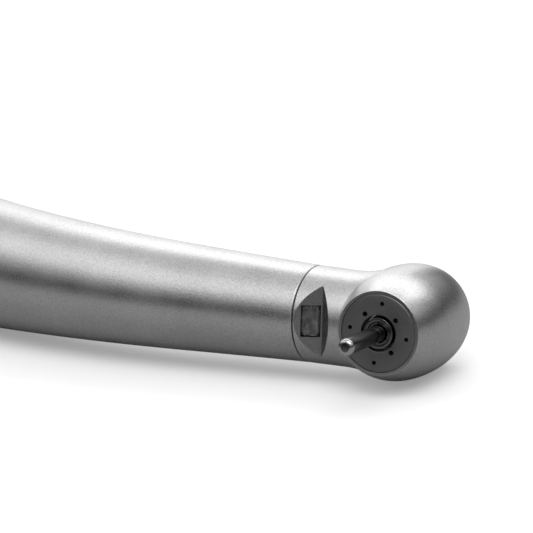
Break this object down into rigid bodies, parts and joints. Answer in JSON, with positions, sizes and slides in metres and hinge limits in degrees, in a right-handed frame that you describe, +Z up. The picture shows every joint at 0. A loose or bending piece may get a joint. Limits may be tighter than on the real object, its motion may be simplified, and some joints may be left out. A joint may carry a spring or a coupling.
{
  "type": "dental turbine handpiece",
  "caption": "Contra-angle air-turbine dental handpiece with ball-bearing rotor, push-button chuck, bur blank, light window and quick-coupling socket, lying on its side.",
  "frame": {"origin": "middle of the footprint, on the surface that the handpiece lies on", "axes": "+X along the grip towards the head, +Z up; the bur points to -Y and a little to +X and up"},
  "size_m": [0.1146, 0.0272, 0.0145],
  "materials": {
    "satin_steel": "bead-blasted satin",
    "dark_plate": "dark satin",
    "bright_steel": "turned and polished",
    "race_steel": "ground",
    "ball_ceramic": "polished ceramic",
    "cage_polymer": "machined polymer",
    "rotor_alloy": "milled",
    "seal_rubber": "matte",
    "tube_brass": "drawn",
    "clear_glass": "polished",
    "clamp_polymer": "moulded"
  },
  "bodies": {
    "housing": {"head_housing": "satin_steel", "face_plate": "dark_plate", "light_window": "clear_glass", "light_guide": "clear_glass", "handle_sleeve": "satin_steel", "grip_sleeve": "satin_steel", "rear_collar": "satin_steel", "coupling_socket": "bright_steel", "snap_ring": "bright_steel", "drive_air_tube": "tube_brass", "water_tube": "tube_brass", "chip_air_tube": "tube_brass", "front_tube_clamp": "clamp_polymer", "middle_tube_clamp": "clamp_polymer", "neck_seal": "seal_rubber", "front_outer_race": "race_steel", "rear_outer_race": "race_steel", "front_o_ring": "seal_rubber", "rear_o_ring": "seal_rubber", "bearing_cup": "bright_steel", "preload_washer": "bright_steel", "back_cap": "satin_steel", "button_spring": "bright_steel"},
    "rotor": {"spindle": "bright_steel", "collet": "bright_steel", "impeller": "rotor_alloy", "front_inner_race": "race_steel", "rear_inner_race": "race_steel"},
    "front_ball_cage": {"front_cage": "cage_polymer", "front_ball_1": "ball_ceramic", "front_ball_2": "ball_ceramic", "front_ball_3": "ball_ceramic", "front_ball_4": "ball_ceramic", "front_ball_5": "ball_ceramic", "front_ball_6": "ball_ceramic", "front_ball_7": "ball_ceramic"},
    "rear_ball_cage": {"rear_cage": "cage_polymer", "rear_ball_1": "ball_ceramic", "rear_ball_2": "ball_ceramic", "rear_ball_3": "ball_ceramic", "rear_ball_4": "ball_ceramic", "rear_ball_5": "ball_ceramic", "rear_ball_6": "ball_ceramic", "rear_ball_7": "ball_ceramic"},
    "button": {"push_button": "satin_steel"},
    "pusher": {"chuck_pusher": "bright_steel"},
    "bur_blank": {"test_pin": "bright_steel"}
  },
  "joints": [
    {"name": "rotor_spin", "type": "hinge", "parent": "housing", "child": "rotor", "pos_m": [0.05338, -0.00009, 0.00645], "axis": [0.4023, -0.9075, 0.1211], "continuous": true},
    {"name": "front_cage_spin", "type": "hinge", "parent": "housing", "child": "front_ball_cage", "pos_m": [0.05338, -0.00009, 0.00645], "axis": [0.4023, -0.9075, 0.1211], "continuous": true},
    {"name": "rear_cage_spin", "type": "hinge", "parent": "housing", "child": "rear_ball_cage", "pos_m": [0.05338, -0.00009, 0.00645], "axis": [0.4023, -0.9075, 0.1211], "continuous": true},
    {"name": "button_press", "type": "slide", "parent": "housing", "child": "button", "axis": [0.4023, -0.9075, 0.1211], "range_m": [0, 0.0005], "stiffness_N_per_m": 3000, "springref_m": -0.0005, "deforming": ["button_spring"]},
    {"name": "pusher_slide", "type": "slide", "parent": "rotor", "child": "pusher", "axis": [0.4023, -0.9075, 0.1211], "range_m": [0, 0.00026]},
    {"name": "bur_release", "type": "slide", "parent": "rotor", "child": "bur_blank", "axis": [0.4023, -0.9075, 0.1211], "range_m": [0, 0.012]}
  ],
  "couplings": [
    {"joint": "front_cage_spin", "follows": "rotor_spin", "ratio": 0.395},
    {"joint": "rear_cage_spin", "follows": "rotor_spin", "ratio": 0.395},
    {"joint": "pusher_slide", "follows": "button_press", "ratio": 0.5}
  ]
}
